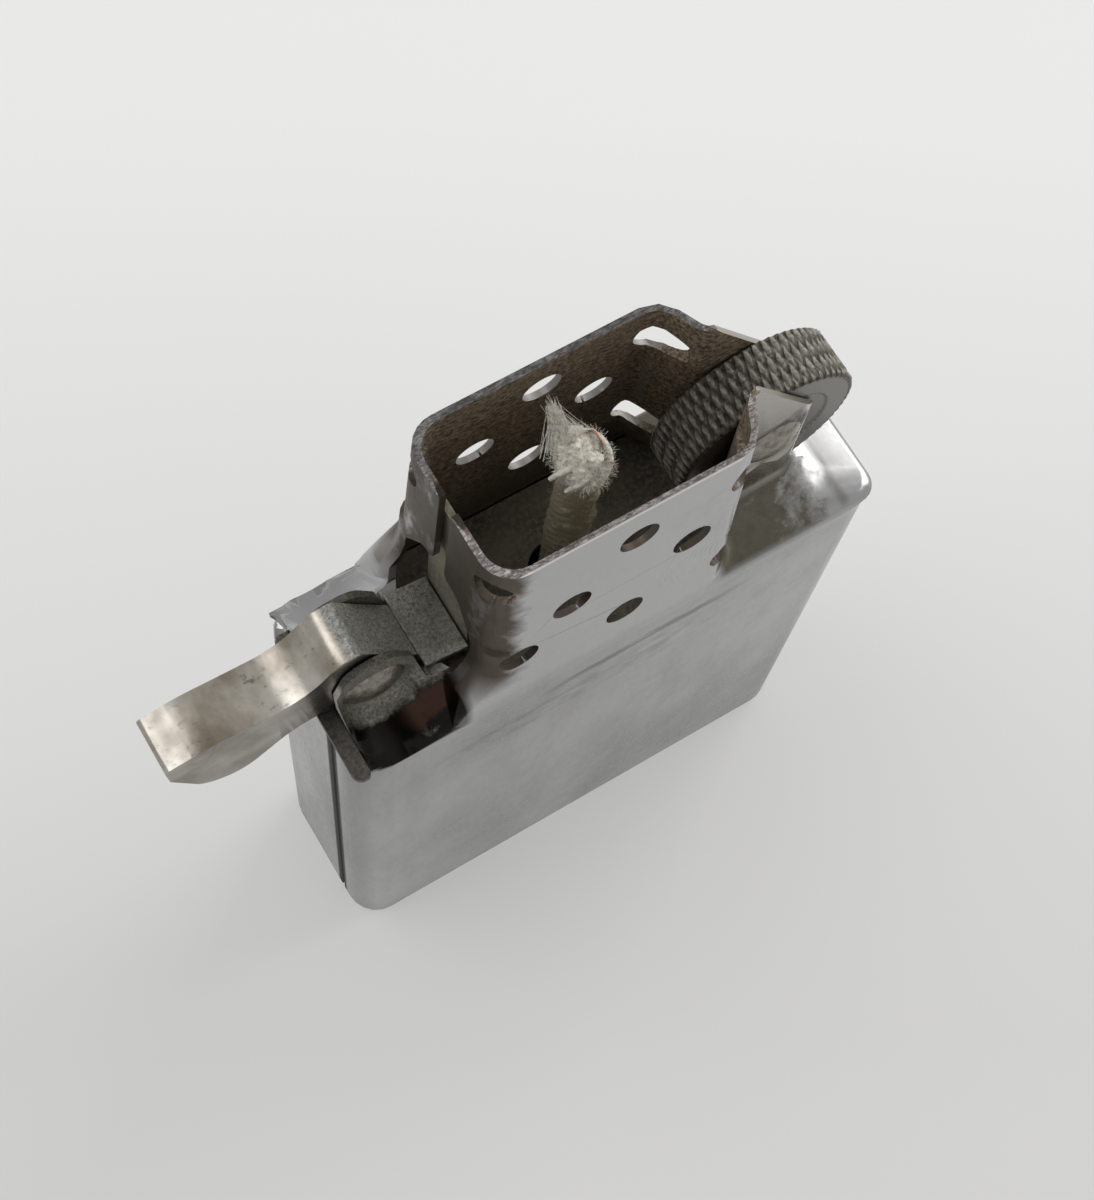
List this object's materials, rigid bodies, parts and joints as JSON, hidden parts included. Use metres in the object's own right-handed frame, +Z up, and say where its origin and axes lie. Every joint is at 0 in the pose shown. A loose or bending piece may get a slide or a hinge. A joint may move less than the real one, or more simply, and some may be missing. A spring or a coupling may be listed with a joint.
{
  "type": "windproof lighter insert",
  "caption": "Insert of a windproof petrol lighter: pierced wind chimney, striker wheel, sprung cam lever, wick and flint feed.",
  "frame": {"origin": "middle of the case's open bottom", "axes": "+Z up through the chimney, +X towards the striker wheel, the front faces -Y"},
  "size_m": [0.0431, 0.0112, 0.053],
  "materials": {
    "case_steel": "satin",
    "lever_nickel": "tarnished satin",
    "spring_steel": "dull, granular",
    "deck_steel": "sooty",
    "wheel_steel": "cross-cut file teeth",
    "rivet_steel": "polished",
    "tube_steel": "plain",
    "flint_alloy": "matt",
    "brass": "turned",
    "spring_wire": "bright wire",
    "wick_cotton": "frayed twist",
    "copper_wire": "fine wire",
    "cotton_packing": "loose fibre",
    "felt": "pressed felt"
  },
  "bodies": {
    "case": {"insert_case": "case_steel", "deck_plate": "deck_steel", "cam_rivet": "rivet_steel", "cam_spring": "spring_steel", "wheel_rivet": "rivet_steel", "flint_tube": "tube_steel", "wick": "wick_cotton", "wick_wire": "copper_wire", "packing_1": "cotton_packing", "packing_2": "cotton_packing", "packing_3": "cotton_packing", "packing_4": "cotton_packing", "packing_5": "cotton_packing"},
    "cam": {"cam_lever": "lever_nickel"},
    "striker": {"spark_wheel": "wheel_steel"},
    "flint_feed": {"flint": "flint_alloy", "spring_tip": "brass", "flint_spring": "spring_wire", "flint_screw": "brass"},
    "felt": {"felt_pad": "felt"}
  },
  "joints": [
    {"name": "cam_turn", "type": "hinge", "parent": "case", "child": "cam", "pos_m": [-0.0141, 0, 0.0393], "axis": [0, 1, 0], "range_deg": [0, 80]},
    {"name": "wheel_spin", "type": "hinge", "parent": "case", "child": "striker", "pos_m": [0.0103, 0, 0.0438], "axis": [0, 1, 0], "continuous": true},
    {"name": "flint_withdraw", "type": "slide", "parent": "case", "child": "flint_feed", "axis": [0, 0, -1], "range_m": [0, 0.04]},
    {"name": "felt_withdraw", "type": "slide", "parent": "case", "child": "felt", "axis": [0, 0, -1], "range_m": [0, 0.012]}
  ]
}
